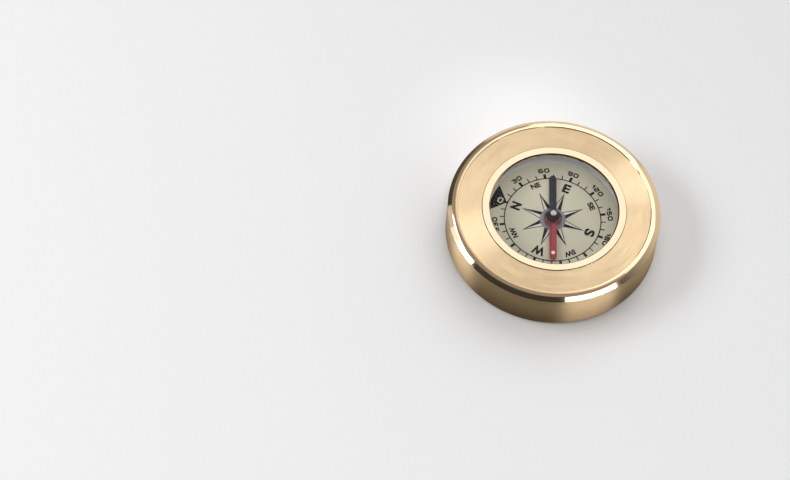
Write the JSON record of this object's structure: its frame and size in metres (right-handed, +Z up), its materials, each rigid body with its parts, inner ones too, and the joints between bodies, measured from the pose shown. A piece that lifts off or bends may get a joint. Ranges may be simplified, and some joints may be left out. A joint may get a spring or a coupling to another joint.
{
  "type": "pocket compass",
  "caption": "Round turned-brass pocket compass with a polished bezel, flat crystal, printed degree dial and a red and black needle that swings on a point.",
  "frame": {"origin": "middle of the flat back, on the surface that the compass lies on", "axes": "+Z up through the crystal along the compass axis, +Y towards the dial's zero mark, +X towards its 90 degree mark"},
  "size_m": [0.05, 0.05, 0.011],
  "materials": {
    "case_brass": "turned, fine circular brushing, polished bead and chamfer",
    "bezel_brass": "mirror polished",
    "gasket_rubber": "matt",
    "crystal_glass": "polished, clear",
    "liner_metal": "satin grey",
    "dial_paint": "matt beige with black print",
    "plate_brass": "plain turned",
    "pad_foam": "thin bedding pad",
    "bush_nickel": "nickel plated, satin grey",
    "pin_steel": "hardened and ground",
    "needle_paint": "blue-black half and red half",
    "cap_plastic": "moulded black",
    "jewel_glass": "pale polished bearing cup",
    "collar_brass": "plain",
    "dot_paint": "pale painted spot"
  },
  "bodies": {
    "case": {"case_body": "case_brass", "bezel_ring": "bezel_brass", "crystal_gasket": "gasket_rubber", "crystal": "crystal_glass", "liner_ring": "liner_metal", "dial_plate": "dial_paint", "base_plate": "plate_brass", "bedding_pad": "pad_foam", "pivot_bush": "bush_nickel", "pivot_pin": "pin_steel"},
    "needle": {"needle_blade": "needle_paint", "needle_cap": "cap_plastic", "cap_jewel": "jewel_glass", "cap_collar": "collar_brass", "needle_dot": "dot_paint"}
  },
  "joints": [
    {"name": "needle_spin", "type": "hinge", "parent": "case", "child": "needle", "pos_m": [0, 0, 0.008], "axis": [0, 0, 1], "continuous": true}
  ]
}
